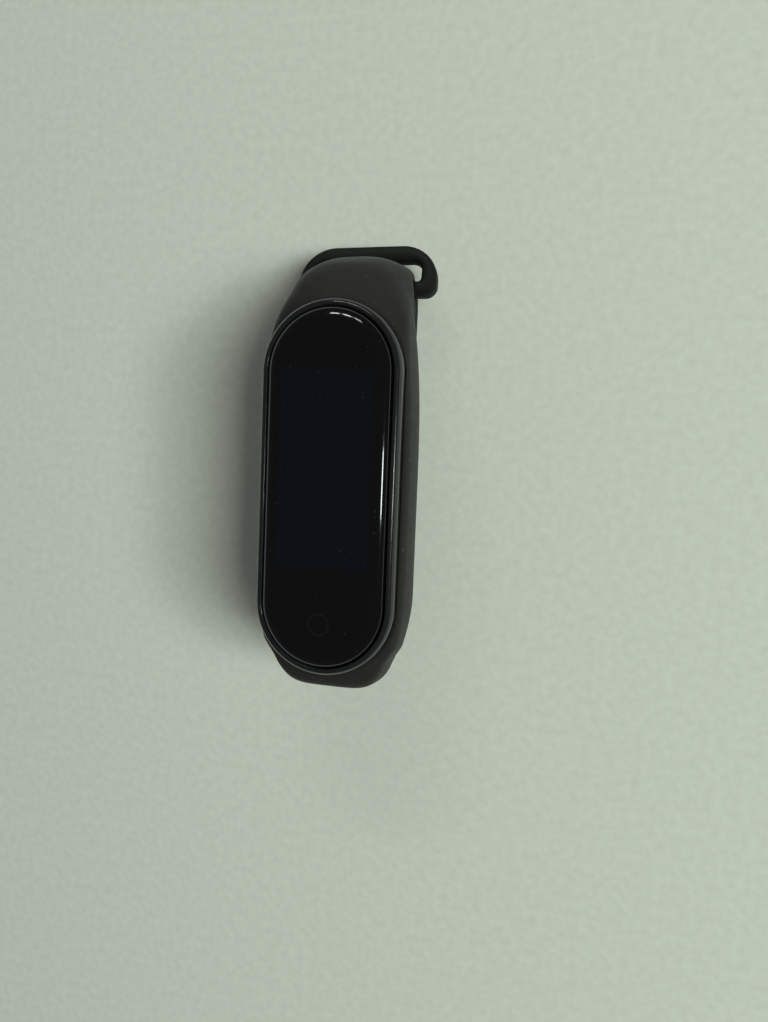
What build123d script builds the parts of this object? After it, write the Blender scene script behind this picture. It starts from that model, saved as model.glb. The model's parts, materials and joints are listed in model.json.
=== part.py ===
from build123d import *
import os
from math import asin, cos, degrees, radians, sin

# Fitness tracker band, closed to a flattened ring and standing on the flat back of its strap.
# Millimetres. X runs across the band, +Y points to the top of the screen, +Z out of the screen.
# The origin is on the flat outer face of the strap, straight below the middle of the capsule.

# Capsule: a pill-shaped body, widest at its rim, with a domed cover glass glued into the top.
CAPSULE_LENGTH = 46.95
CAPSULE_WIDTH = 18.15
CAPSULE_THICKNESS = 12.45
RIM_Z = 20.5                       # height of the widest line of the capsule
GLASS_TOP = RIM_Z + 2.0
CAPSULE_BACK = GLASS_TOP - CAPSULE_THICKNESS
BUMP_HEIGHT = 1.0                  # the sensor bump stands out of the capsule's back
SHELL_BOTTOM = CAPSULE_BACK + BUMP_HEIGHT
RIM_UNDERSIDE = RIM_Z - 1.1        # below this the body steps in and sits inside the strap
RIM_TOP = RIM_Z + 1.0
WAIST_INSET = 0.3
SHELL_WALL = 1.2
SHELL_FLOOR = 1.0
SHELL_FOOT_RADIUS = 2.6            # rounding of the shell's lower edge
GLASS_INSET = 1.1                  # width of the polished bezel round the glass
GLASS_THICKNESS = 1.6
GLUE_THICKNESS = 0.15
GLASS_GAP = 0.12
GLASS_BOTTOM = GLASS_TOP - GLASS_THICKNESS
LEDGE_Z = GLASS_BOTTOM - GLUE_THICKNESS
LEDGE_THICKNESS = 0.8
LEDGE_INSET = GLASS_INSET + 0.75   # the opening that everything inside goes in through
FLOOR_Z = SHELL_BOTTOM + SHELL_FLOOR
END_CENTRE = (CAPSULE_LENGTH - CAPSULE_WIDTH) / 2   # centre of each round end, along Y

# Back of the capsule: an optical sensor under a round lens, and two charging pads.
BUMP_LENGTH = 24.0
BUMP_WIDTH = 11.4
LENS_RADIUS = 4.7
LENS_THICKNESS = 1.35
LENS_GAP = 0.02
PAD_RADIUS = 1.1
PAD_PITCH = 5.0
PAD_Y = -15.0

# Strap: one soft moulding. Its cradle holds the capsule, the upper run carries the holes and
# passes through the loop, and the lower run goes round the back and ends in the loop.
STRAP_HALF_WIDTH = 6.5
TAIL_THICKNESS = 2.2
LOOP_RUN_THICKNESS = 2.0
RUN_GAP = 0.3                      # air between the two runs where they lie on each other
RUN_DEPTH = TAIL_THICKNESS + RUN_GAP
CRADLE_TOP = RIM_UNDERSIDE - 0.2
CRADLE_BOTTOM = CAPSULE_BACK - 0.15
CRADLE_FIT = 0.15                  # gap round the capsule inside the cradle
SEAT_GAP = 0.1
BACK_WINDOW = (38.0, 12.2)         # opening in the cradle's floor, length and width

# Bends of the strap seen from the side: centre y, centre z and the radius of the tail's outer face.
UPPER_BEND = (18.6, 8.5, 12.5)
HEEL_BEND = (24.3, 6.4, 6.4)
LOWER_BEND = (-14.2, 14.5, 14.5)
HEEL_ANGLE = -20.0                 # where the upper bend hands over to the heel bend
TIP_ANGLE = -105.0
LIP_ANGLE = degrees(asin((CRADLE_TOP - UPPER_BEND[1]) / UPPER_BEND[2]))   # the cradle's top on it

# Peeling tail: it is one moulding with the strap, cut at two webs where it bends most.
PEEL_Y = 13.6
CURL_Y = -6.8
LINK_GAP = 0.3
HOLE_LENGTH = 4.9
HOLE_WIDTH = 3.8
HOLE_PITCH = 6.8
TIP_CORNER = 4.0

# Loop at the end of the lower run, standing across the tail.
LOOP_ANGLE = -14.0
LOOP_HALF_WIDTH = 10.0
LOOP_ARM = 2.3
LOOP_ABOVE = 2.9                   # top of the loop over the tail's outer face
LOOP_BELOW = 4.5                   # foot of the loop under the tail's outer face
LOOP_CLEAR_ABOVE = 0.6
LOOP_CLEAR_BELOW = 0.25
LOOP_DEPTH = 2.2

# Clasp stud: it stands on the lower run and snaps into one of the tail's holes.
STUD_Y = HOLE_PITCH / 2
STUD_HEAD_RADIUS = 1.75
STUD_NECK_RADIUS = 1.25
STUD_HEAD_BOTTOM = 0.25
STUD_HEAD_THICKNESS = 0.6
STUD_PLATE_RADIUS = 3.25
STUD_PLATE_THICKNESS = 0.5

# Levels of the parts inside the capsule, from the back to the screen.
LED_Z = 11.75
SENSOR_BOARD_Z = 12.65
SENSOR_BOARD_THICKNESS = 0.55
BATTERY_Z = 13.4
BATTERY_HEIGHT = 4.0
FRAME_Z = 17.6
FRAME_THICKNESS = 0.6
BOARD_Z = 18.4
BOARD_THICKNESS = 0.6
PANEL_THICKNESS = 0.85
BATTERY_SIZE = (10.0, 26.0)
BATTERY_Y = 5.5
PANEL_SIZE = (12.6, 27.6)
PANEL_Y = 2.4
BOARD_SIZE = (13.0, 38.0)
SCREW_SPOTS = [(-4.2, -15.4), (4.2, -15.4), (0.0, 17.4)]
SCREW_RADIUS = 0.5

# Coin vibration motor.
MOTOR_Y = -14.8
MOTOR_Z = 13.4
MOTOR_RADIUS = 4.0
MOTOR_HEIGHT = 2.7
MOTOR_WALL = 0.2
MOTOR_SHAFT_RADIUS = 0.4
MOTOR_RUNNING_GAP = 0.05

FLEX_THICKNESS = 0.15
BOARD_TOP = BOARD_Z + BOARD_THICKNESS
CHIP_HEIGHT = 0.75


# ---- helpers -------------------------------------------------------------------------------


def pill(width, length):
    """A flat pill outline, long along Y."""
    return Rot(0, 0, 90) * SlotOverall(length, width)


def pill_block(width, length, bottom, top):
    """An upright pill-shaped block between two heights."""
    return Pos(0, 0, bottom) * extrude(pill(width, length), amount=top - bottom)


def block(size_x, size_y, bottom, top, x=0.0, y=0.0):
    """A box between two heights, centred on x and y."""
    return Pos(x, y, (bottom + top) / 2) * Box(size_x, size_y, top - bottom)


def disc(radius, bottom, top, x=0.0, y=0.0):
    """An upright cylinder between two heights."""
    return Pos(x, y, (bottom + top) / 2) * Cylinder(radius, top - bottom)


def point_on(bend, angle, depth=0.0):
    """The (y, z) of a point on a bend, a depth below its outer face."""
    centre_y, centre_z, radius = bend
    reach = radius - depth
    return (centre_y + reach * cos(radians(angle)), centre_z + reach * sin(radians(angle)))


def lower_angle(z):
    """The angle on the lower bend at which the lower run's outer face is at a height."""
    return 180.0 - degrees(asin((z - LOWER_BEND[1]) / (LOWER_BEND[2] - RUN_DEPTH)))


def flat_end(y):
    """The stretch that ends a strap run squarely on its flat back, at the given y."""
    return ((y, TAIL_THICKNESS, TAIL_THICKNESS), -90.0, -90.0)


def face_of_run(stretches, depth):
    """Edges of one face of a strap run, with its first and last points."""
    edges = []
    first = None
    last = None
    for bend, start, end in stretches:
        begin = point_on(bend, start, depth)
        if last is None:
            first = begin
        else:
            edges.append(Line(last, begin))
        last = begin
        if start != end:
            last = point_on(bend, end, depth)
            edges.append(ThreePointArc(begin, point_on(bend, (start + end) / 2, depth), last))
    return edges, first, last


def strap_run(stretches, depth, thickness):
    """A strap run of even width, from a depth below the tail's outer face."""
    outer, outer_first, outer_last = face_of_run(stretches, depth)
    inner, inner_first, inner_last = face_of_run(stretches, depth + thickness)
    ends = [Line(outer_first, inner_first), Line(outer_last, inner_last)]
    side = make_face(outer + inner + ends)
    return extrude(Plane.YZ * side, amount=STRAP_HALF_WIDTH, both=True)


def tail_hole(number):
    """A long hole through the tail's back; the web between numbers -1 and 0 is at y = 0."""
    slot = Rot(0, 0, 90) * SlotOverall(HOLE_LENGTH, HOLE_WIDTH)
    return Pos(0, (number + 0.5) * HOLE_PITCH, 0) * extrude(slot, amount=2 * TAIL_THICKNESS, both=True)


# ---- strap ---------------------------------------------------------------------------------


def cradle_plan():
    """The cradle from above: full round the capsule, drawn in to the width of the strap."""
    top, bottom = 31.5, -28.0
    upper = [(10.1, 0), (9.95, 12), (9.4, 19), (8.9, 22.5), (8.2, 26), (STRAP_HALF_WIDTH, top)]
    lower = [(STRAP_HALF_WIDTH, bottom), (7.5, -24.5), (8.6, -19.5), (9.6, -14), (10.1, 0)]
    right = [Spline(*lower), Spline(*upper)]
    left = [edge.mirror(Plane.YZ) for edge in right]
    ends = [Line((-STRAP_HALF_WIDTH, y), (STRAP_HALF_WIDTH, y)) for y in (top, bottom)]
    return make_face(right + left + ends)


def cradle_section():
    """The cradle across the band: narrow at the lip and fullest a few millimetres below it."""
    top, bottom = CRADLE_TOP, CRADLE_BOTTOM - 5
    side = Spline((9.5, top), (10.1, RIM_Z - 5.0), (8.4, CRADLE_BOTTOM))
    left = side.mirror(Plane.YZ)
    foot = [(8.4, CRADLE_BOTTOM), (8.4, bottom), (-8.4, bottom), (-8.4, CRADLE_BOTTOM)]
    lines = [Line(a, b) for a, b in zip(foot, foot[1:])]
    return make_face([side, left, Line((9.5, top), (-9.5, top))] + lines)


def cradle_side():
    """The cradle from the side: rounded at both ends, down to where the two runs leave it."""
    lip = point_on(UPPER_BEND, LIP_ANGLE)
    root = point_on(UPPER_BEND, 0.0)
    root_inner = point_on(UPPER_BEND, 0.0, TAIL_THICKNESS)
    shoulder = point_on(LOWER_BEND, lower_angle(CRADLE_TOP), RUN_DEPTH)
    foot = point_on(LOWER_BEND, lower_angle(CRADLE_BOTTOM), RUN_DEPTH)
    end = ThreePointArc(shoulder, point_on(LOWER_BEND, 180.0, RUN_DEPTH), foot)
    crown = ThreePointArc(lip, point_on(UPPER_BEND, LIP_ANGLE / 2), root)
    corners = [root, root_inner, (27.6, CRADLE_BOTTOM), foot]
    lines = [Line(a, b) for a, b in zip(corners, corners[1:])]
    return make_face(lines + [Line(shoulder, lip), crown, end])


def cradle():
    """The holder round the capsule, open at the back so that the sensor meets the skin."""
    body = extrude(Plane.YZ * cradle_side(), amount=12, both=True)
    body &= extrude(cradle_plan(), amount=2 * RIM_Z)
    body &= extrude(Plane.XZ * cradle_section(), amount=40, both=True)
    waist_width = CAPSULE_WIDTH - 2 * WAIST_INSET + 2 * CRADLE_FIT
    waist_length = CAPSULE_LENGTH - 2 * WAIST_INSET + 2 * CRADLE_FIT
    pocket = pill_block(waist_width, waist_length, SHELL_BOTTOM - SEAT_GAP, RIM_Z)
    body -= fillet(pocket.edges().group_by(Axis.Z)[0], SHELL_FOOT_RADIUS - SEAT_GAP)
    length, width = BACK_WINDOW
    return body - pill_block(width, length, CRADLE_BOTTOM - 1, RIM_Z)


def tail_root():
    """The fixed part of the tail: through the loop, round the heel and onto the flat back."""
    stretches = [(UPPER_BEND, 0.0, HEEL_ANGLE), (HEEL_BEND, HEEL_ANGLE, -90.0),
                 flat_end(PEEL_Y + LINK_GAP / 2)]
    run = strap_run(stretches, 0.0, TAIL_THICKNESS)
    return run - tail_hole(2) - tail_hole(3)


def loop_run():
    """The lower run: from the capsule round the back, inside the tail, to the loop."""
    stretches = [(LOWER_BEND, 180.0, 270.0), (HEEL_BEND, 270.0, 360.0 + HEEL_ANGLE),
                 (UPPER_BEND, 360.0 + HEEL_ANGLE, 358.0 + LOOP_ANGLE)]
    return strap_run(stretches, RUN_DEPTH, LOOP_RUN_THICKNESS)


def strap_body():
    """The whole soft moulding, apart from the part of the tail that peels off the stud."""
    whole = cradle() + tail_root() + loop_run()
    inner = RUN_DEPTH + LOOP_RUN_THICKNESS
    whole -= disc(STUD_NECK_RADIUS, RUN_DEPTH - 0.1, inner + 0.1, y=STUD_Y)
    whole -= disc(STUD_PLATE_RADIUS, inner - STUD_PLATE_THICKNESS, inner + 0.1, y=STUD_Y)
    return whole - strap_loop()


def strap_loop():
    """The keeper loop: a rounded frame standing square to the tail, which passes through it."""
    y, z = point_on(UPPER_BEND, LOOP_ANGLE)
    forward = (0, -sin(radians(LOOP_ANGLE)), cos(radians(LOOP_ANGLE)))
    across = Plane((0, y, z), x_dir=(1, 0, 0), z_dir=forward)
    height = LOOP_ABOVE + LOOP_BELOW
    outline = Pos(0, LOOP_ABOVE - height / 2) * Rectangle(2 * LOOP_HALF_WIDTH, height)
    outline = fillet(outline.vertices().group_by(Axis.Y)[-1], 5.3)
    outline = fillet(outline.vertices().group_by(Axis.Y)[0], 1.6)
    window_top = LOOP_CLEAR_ABOVE
    window_bottom = -TAIL_THICKNESS - LOOP_CLEAR_BELOW
    window = Pos(0, (window_top + window_bottom) / 2) * Rectangle(
        2 * (LOOP_HALF_WIDTH - LOOP_ARM), window_top - window_bottom)
    window = fillet(window.vertices(), 0.4)
    frame = extrude(across * (outline - window), amount=LOOP_DEPTH / 2, both=True)
    return fillet(frame.faces().sort_by(Axis.Z)[-1].outer_wire().edges(), 0.6)


def tail_link():
    """The flat middle of the tail, which lifts off the stud."""
    length = PEEL_Y - CURL_Y - LINK_GAP
    flat = block(2 * STRAP_HALF_WIDTH, length, 0.0, TAIL_THICKNESS, y=(PEEL_Y + CURL_Y) / 2)
    for number in (-1, 0, 1):
        flat -= tail_hole(number)
    return flat


def tail_tip():
    """The end of the tail, curved up round the lower bend, with a rounded tip."""
    stretches = [flat_end(CURL_Y - LINK_GAP / 2), (LOWER_BEND, -90.0, TIP_ANGLE)]
    run = strap_run(stretches, 0.0, TAIL_THICKNESS)
    tip_y = point_on(LOWER_BEND, TIP_ANGLE)[0]
    plan = Pos(0, tip_y / 2) * Rectangle(2 * STRAP_HALF_WIDTH, -tip_y)
    plan = fillet(plan.vertices().group_by(Axis.Y)[0], TIP_CORNER)
    run &= extrude(plan, amount=RIM_Z)
    return run - tail_hole(-2)


def clasp_stud():
    """Head, neck and shank of the stud, the shank held in the lower run."""
    head_top = STUD_HEAD_BOTTOM + STUD_HEAD_THICKNESS
    plate = RUN_DEPTH + LOOP_RUN_THICKNESS - STUD_PLATE_THICKNESS
    head = fillet(disc(STUD_HEAD_RADIUS, STUD_HEAD_BOTTOM, head_top, y=STUD_Y).edges(), 0.25)
    return head + disc(STUD_NECK_RADIUS, STUD_HEAD_BOTTOM + 0.1, plate, y=STUD_Y)


def stud_plate():
    """The backing disc that holds the stud, flush with the skin side of the lower run."""
    top = RUN_DEPTH + LOOP_RUN_THICKNESS
    return disc(STUD_PLATE_RADIUS, top - STUD_PLATE_THICKNESS, top, y=STUD_Y)


# ---- capsule outside -----------------------------------------------------------------------


def capsule_shell():
    """The one-piece capsule body, open at the top for the glass."""
    waist_width = CAPSULE_WIDTH - 2 * WAIST_INSET
    waist_length = CAPSULE_LENGTH - 2 * WAIST_INSET
    waist = pill_block(waist_width, waist_length, SHELL_BOTTOM, RIM_UNDERSIDE)
    waist = fillet(waist.edges().group_by(Axis.Z)[0], SHELL_FOOT_RADIUS)
    rim = pill_block(CAPSULE_WIDTH, CAPSULE_LENGTH, RIM_UNDERSIDE, RIM_TOP)
    rim = fillet(rim.edges().group_by(Axis.Z)[-1], 0.45)
    rim = fillet(rim.edges().group_by(Axis.Z)[0], 0.25)
    bump = pill_block(BUMP_WIDTH, BUMP_LENGTH, CAPSULE_BACK, SHELL_BOTTOM + 0.2)
    bump = fillet(bump.edges().group_by(Axis.Z)[0], 0.7)
    body = waist + rim + bump
    under_ledge = LEDGE_Z - LEDGE_THICKNESS
    body -= pill_block(waist_width - 2 * SHELL_WALL, waist_length - 2 * SHELL_WALL, FLOOR_Z, under_ledge)
    opening = 2 * LEDGE_INSET
    body -= pill_block(CAPSULE_WIDTH - opening, CAPSULE_LENGTH - opening, FLOOR_Z, GLASS_TOP)
    glass_side = 2 * (GLASS_INSET - GLASS_GAP)
    body -= pill_block(CAPSULE_WIDTH - glass_side, CAPSULE_LENGTH - glass_side, LEDGE_Z, GLASS_TOP)
    body -= disc(LENS_RADIUS, CAPSULE_BACK - 1, FLOOR_Z + 0.1)
    for side in (-1, 1):
        body -= disc(PAD_RADIUS, SHELL_BOTTOM - 1, FLOOR_Z + 0.1, x=side * PAD_PITCH / 2, y=PAD_Y)
    return body


def cover_glass():
    """The touch glass, softly domed at its edge and standing a little proud of the rim."""
    width = CAPSULE_WIDTH - 2 * GLASS_INSET
    length = CAPSULE_LENGTH - 2 * GLASS_INSET
    glass = pill_block(width, length, GLASS_BOTTOM, GLASS_TOP)
    return fillet(glass.edges().group_by(Axis.Z)[-1], 1.0)


def display_adhesive():
    """The ring of tape between the glass and the ledge of the shell."""
    outer = 2 * GLASS_INSET
    inner = 2 * LEDGE_INSET
    ring = pill_block(CAPSULE_WIDTH - outer, CAPSULE_LENGTH - outer, LEDGE_Z, GLASS_BOTTOM)
    return ring - pill_block(CAPSULE_WIDTH - inner, CAPSULE_LENGTH - inner, LEDGE_Z - 1, GLASS_TOP)


def sensor_lens():
    """The round clear window over the optical sensor."""
    return disc(LENS_RADIUS - LENS_GAP, CAPSULE_BACK, CAPSULE_BACK + LENS_THICKNESS)


def charge_contacts():
    """Two charging pads, a little below flush, in the back of the shell."""
    pads = [disc(PAD_RADIUS, SHELL_BOTTOM + 0.05, FLOOR_Z + 0.3, x=side * PAD_PITCH / 2, y=PAD_Y)
            for side in (-1, 1)]
    return Compound(pads)


# ---- capsule inside ------------------------------------------------------------------------


def contact_springs():
    """Two thin leaves from the charging pads to the sensor board."""
    leaves = [block(1.4, 5.4, FLOOR_Z + 0.32, FLOOR_Z + 0.5, x=side * PAD_PITCH / 2, y=PAD_Y + 2.0)
              for side in (-1, 1)]
    return Compound(leaves)


def sensor_board():
    """The small board over the lens."""
    return block(12.0, 24.0, SENSOR_BOARD_Z, SENSOR_BOARD_Z + SENSOR_BOARD_THICKNESS, y=1.0)


def sensor_leds():
    """Two green light sources in the middle of the lens."""
    lights = [block(1.3, 1.3, LED_Z, SENSOR_BOARD_Z, y=side * 1.1) for side in (-1, 1)]
    return Compound(lights)


def photodiodes():
    """Two light receivers, one each side of the light sources."""
    receivers = [block(1.9, 2.8, LED_Z + 0.1, SENSOR_BOARD_Z, x=side * 2.8) for side in (-1, 1)]
    return Compound(receivers)


def battery_cell():
    """The flat lithium polymer pouch."""
    width, length = BATTERY_SIZE
    cell = block(width, length, BATTERY_Z, BATTERY_Z + BATTERY_HEIGHT, y=BATTERY_Y)
    return fillet(cell.edges().filter_by(Axis.Y), 1.0)


def battery_pad():
    """The tape that holds the cell to the inner frame."""
    top = BATTERY_Z + BATTERY_HEIGHT
    return block(7.0, 18.0, top, FRAME_Z, y=BATTERY_Y)


def battery_flex():
    """The ribbon from the end of the cell up to the main board."""
    end = BATTERY_Y + BATTERY_SIZE[1] / 2
    return block(3.0, FLEX_THICKNESS, BATTERY_Z + 2.5, BOARD_Z, y=end + FLEX_THICKNESS / 2)


def inner_frame():
    """The plastic frame between the cell and the main board, with posts for the screws."""
    inside = 2 * LEDGE_INSET + 0.3
    plate = pill_block(CAPSULE_WIDTH - inside, CAPSULE_LENGTH - inside, FRAME_Z, FRAME_Z + FRAME_THICKNESS)
    notch_y = BATTERY_Y + BATTERY_SIZE[1] / 2 + FLEX_THICKNESS / 2
    flex_notch = block(3.6, 0.6, FRAME_Z - 1, BOARD_Z + 1, y=notch_y)
    for x, y in SCREW_SPOTS:
        plate += disc(1.2, FRAME_Z, BOARD_Z, x, y)
        plate -= disc(SCREW_RADIUS, FRAME_Z - 1, BOARD_Z + 1, x, y)
    return plate - flex_notch


def main_board():
    """The main circuit board, with a hole for each screw."""
    width, length = BOARD_SIZE
    board = pill_block(width, length, BOARD_Z, BOARD_TOP)
    for x, y in SCREW_SPOTS:
        board -= disc(SCREW_RADIUS, BOARD_Z - 1, BOARD_TOP + 1, x, y)
    return board


def board_screws():
    """Three small screws that hold the board to the frame."""
    screws = [disc(SCREW_RADIUS, FRAME_Z, BOARD_TOP, x, y) + disc(0.85, BOARD_TOP, BOARD_TOP + 0.3, x, y)
              for x, y in SCREW_SPOTS]
    return Compound(screws)


def processor_chip():
    """The radio processor."""
    return block(5.0, 5.0, BOARD_TOP, BOARD_TOP + CHIP_HEIGHT, y=-4.5)


def motion_sensor():
    """The accelerometer and gyroscope."""
    return block(2.5, 3.0, BOARD_TOP, BOARD_TOP + CHIP_HEIGHT, y=12.5)


def shield_can():
    """The thin metal lid over the power and charging parts."""
    lid = block(9.0, 8.0, BOARD_TOP, BOARD_TOP + 0.85, y=6.0)
    return lid - block(8.6, 7.6, BOARD_TOP - 1, BOARD_TOP + 0.7, y=6.0)


def antenna():
    """The radio antenna, a strip round the upper end of the frame."""
    outer = CAPSULE_WIDTH / 2 - LEDGE_INSET - 0.1
    low, high = FRAME_Z + FRAME_THICKNESS, BOARD_TOP + 0.6
    ring = disc(outer, low, high, y=END_CENTRE) - disc(outer - 0.2, low - 1, high + 1, y=END_CENTRE)
    return ring & block(40, 12, low, high, y=END_CENTRE + 7.0)


def display_panel():
    """The screen, bonded under the glass."""
    width, length = PANEL_SIZE
    return block(width, length, GLASS_BOTTOM - PANEL_THICKNESS, GLASS_BOTTOM, y=PANEL_Y)


def display_flex():
    """The ribbon that folds from the lower end of the screen down to the main board."""
    edge = PANEL_Y - PANEL_SIZE[1] / 2
    middle = GLASS_BOTTOM - PANEL_THICKNESS / 2
    arm = block(6.0, 0.9, middle - FLEX_THICKNESS, middle, y=edge - 0.45)
    leg = block(6.0, FLEX_THICKNESS, BOARD_TOP, middle, y=edge - 0.9)
    return arm + leg


def motor_case():
    """The thin cup of the vibration motor."""
    cup = disc(MOTOR_RADIUS, MOTOR_Z, MOTOR_Z + MOTOR_HEIGHT - MOTOR_WALL, y=MOTOR_Y)
    return cup - disc(MOTOR_RADIUS - MOTOR_WALL, MOTOR_Z + MOTOR_WALL, MOTOR_Z + MOTOR_HEIGHT, y=MOTOR_Y)


def motor_cap():
    """The lid of the vibration motor."""
    top = MOTOR_Z + MOTOR_HEIGHT
    return disc(MOTOR_RADIUS, top - MOTOR_WALL, top, y=MOTOR_Y)


def motor_shaft():
    """The fixed pin that the weight spins on."""
    return disc(MOTOR_SHAFT_RADIUS, MOTOR_Z + MOTOR_WALL, MOTOR_Z + MOTOR_HEIGHT - MOTOR_WALL, y=MOTOR_Y)


def motor_rotor():
    """The off-centre weight: a hub and a half disc that leaves the balance to one side."""
    low, high = MOTOR_Z + 0.55, MOTOR_Z + MOTOR_HEIGHT - 0.5
    reach = MOTOR_RADIUS - MOTOR_WALL - 0.35
    weight = disc(reach, low, high, y=MOTOR_Y) & block(9, 4.5, low, high, y=MOTOR_Y + 2.25)
    hub = disc(1.1, low, high, y=MOTOR_Y)
    return weight + hub - disc(MOTOR_SHAFT_RADIUS + MOTOR_RUNNING_GAP, low - 1, high + 1, y=MOTOR_Y)


# ---- write one file for each piece -----------------------------------------------------------

PIECES = [
    strap_body, strap_loop, clasp_stud, stud_plate, tail_link, tail_tip,
    capsule_shell, cover_glass, display_adhesive, sensor_lens, charge_contacts,
    contact_springs, sensor_board, sensor_leds, photodiodes,
    battery_cell, battery_pad, battery_flex, inner_frame, main_board, board_screws,
    processor_chip, motion_sensor, shield_can, antenna, display_panel, display_flex,
    motor_case, motor_cap, motor_shaft, motor_rotor,
]

os.makedirs("parts", exist_ok=True)
for piece in PIECES:
    export_step(piece(), f"parts/{piece.__name__}.step")
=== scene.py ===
import json
from math import cos, pi, radians, sin

import bmesh
import bpy
import numpy as np
from mathutils import Matrix, Vector


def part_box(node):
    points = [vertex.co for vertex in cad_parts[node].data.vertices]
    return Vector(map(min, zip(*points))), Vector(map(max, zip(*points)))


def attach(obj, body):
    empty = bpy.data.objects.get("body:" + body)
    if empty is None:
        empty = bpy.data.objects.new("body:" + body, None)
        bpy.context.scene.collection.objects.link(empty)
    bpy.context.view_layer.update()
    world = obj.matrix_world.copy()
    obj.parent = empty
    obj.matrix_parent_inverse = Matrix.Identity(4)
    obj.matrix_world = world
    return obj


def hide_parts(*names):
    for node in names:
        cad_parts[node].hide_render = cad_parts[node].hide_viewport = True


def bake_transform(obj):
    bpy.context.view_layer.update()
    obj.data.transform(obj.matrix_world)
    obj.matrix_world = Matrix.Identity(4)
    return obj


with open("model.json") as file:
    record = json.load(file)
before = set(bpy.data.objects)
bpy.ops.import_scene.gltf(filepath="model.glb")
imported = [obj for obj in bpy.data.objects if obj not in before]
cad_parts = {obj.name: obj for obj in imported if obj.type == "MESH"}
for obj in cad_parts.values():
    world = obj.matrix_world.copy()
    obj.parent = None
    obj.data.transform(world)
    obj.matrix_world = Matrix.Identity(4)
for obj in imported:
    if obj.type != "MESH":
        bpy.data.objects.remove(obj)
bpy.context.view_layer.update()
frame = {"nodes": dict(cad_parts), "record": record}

# A fitness tracker band, closed to a flattened ring and standing on the flat back of its strap.
# Shapes are worked out in millimetres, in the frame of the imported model, and scaled to metres
# when a mesh is made. X runs across the band, +Y to the top of the screen, +Z out of the screen.

MM = 0.001


def box_mm(node):
    """Lowest and highest corner of a CAD node, in millimetres."""
    low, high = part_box(node)
    return np.array(low) / MM, np.array(high) / MM


# ---- sizes taken from the frame ------------------------------------------------------------

SHELL_LOW, SHELL_HIGH = box_mm("capsule_shell")
GLASS_LOW, GLASS_HIGH = box_mm("cover_glass")
LENS_HIGH = box_mm("sensor_lens")[1]
LINK_LOW, LINK_HIGH = box_mm("tail_link")
TIP_LOW = box_mm("tail_tip")[0]
LOOP_HIGH = box_mm("strap_loop")[1]
STRAP_LOW, STRAP_HIGH = box_mm("strap_body")
STUD_LOW, STUD_HIGH = box_mm("clasp_stud")
PLATE_LOW, PLATE_HIGH = box_mm("stud_plate")
PANEL_LOW, PANEL_HIGH = box_mm("display_panel")

# ---- strap -----------------------------------------------------------------------------------

# Bends of the strap seen from the side: centre y, centre z, radius of the tail's outer face.
UPPER_BEND = (18.6, 8.5, 12.5)
HEEL_BEND = (24.3, 6.4, 6.4)
LOWER_BEND = (-14.2, 14.5, 14.5)
HEEL_ANGLE = -20.0
SHOULDER_ANGLE = 175.0            # where the lower run starts, inside the cradle's lower end
LOWER_END_PULL = 0.03             # keeps the rounded lower end inside the frame's box
ROOT_ANGLE = 50.0                 # where the upper run starts, inside the cradle's upper end
TIP_ANGLE = -105.0
LOOP_ANGLE = -14.0

STRAP_HALF_WIDTH = LINK_HIGH[0]
TAIL_THICKNESS = LINK_HIGH[2] - LINK_LOW[2]
RUN_THICKNESS = 2.0
RUN_GAP = 0.3
RUN_DEPTH = TAIL_THICKNESS + RUN_GAP
TAIL_CROWN = 1.3                  # how far the outer face falls from its middle to its edges
CRADLE_CROWN = 1.7                # the same where the strap leaves the cradle
RUN_CROWN = 0.35
SHOULDER_CROWN = 1.6
SHOULDER_LENGTH = 7.0             # length over which the shoulder's crown stays at its fullest
ROOT_HALF_WIDTH = 8.05            # the strap where it leaves the cradle, at its widest
LOOP_GATE_HALF_WIDTH = 6.9        # the strap where it passes through the loop
NARROWING_LENGTH = 12.0           # length of the tail over which it narrows after the loop
EDGE_ROUND = 0.9
INNER_EDGE_ROUND = 0.7
ROOT_POWER = 3.0                  # how late a crown falls: the higher, the flatter its middle
TAIL_POWER = 2.4
SHOULDER_POWER = 5.0
SHOULDER_FADE = 10.0              # length over which the shoulder's crown gives way to the run's
ROOT_SINK = 2.5                   # how deep the upper run starts under the cradle's face
ROOT_SINK_LENGTH = 6.5
ROOT_CUP = 0.75                   # share of the crown that the inner face follows
ROOT_KEEP = 1.4                   # how long the upper run stays wide: 1 narrows from its start
TIP_SQUARENESS = 0.8              # width left straight across the tail's rounded tip
HOLE_LENGTH = 4.9
HOLE_WIDTH = 3.8
HOLE_PITCH = 6.8
HOLE_SOFTNESS = 0.35
HOLES = (-1.5, -0.5, 0.5, 1.5, 2.5, 3.5)      # places along Y, in pitches from the middle web

CRADLE_TOP = STRAP_HIGH[2]
CRADLE_BOTTOM = SHELL_LOW[2] - 0.15
CRADLE_HALF_WIDTH = STRAP_HIGH[0] - 0.02
BULGE_Z = 15.5                    # height at which the cradle is widest
LIP_FALL = 0.55                   # how steeply the cradle falls away round the capsule's ends
LIP_WIDTH = 0.45                  # width of the level lip before it falls away
TOP_DRAW_IN = 0.3                 # how far each side leans in at the cradle's top
FOOT_DRAW_IN = 1.5                # the same at its bottom
UPPER_TAPER_LENGTH = 30.0
UPPER_TAPER = 1.6
LOWER_TAPER_END = -27.4
LOWER_TAPER_LENGTH = 14.0
CRADLE_FIT = 0.15
SEAT_Z = SHELL_LOW[2] + 0.9
FOOT_RADIUS = 2.5                 # rounding of the capsule's space at its foot
WINDOW_LENGTH = 38.0
WINDOW_WIDTH = 12.2

# ---- capsule -----------------------------------------------------------------------------------

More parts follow.
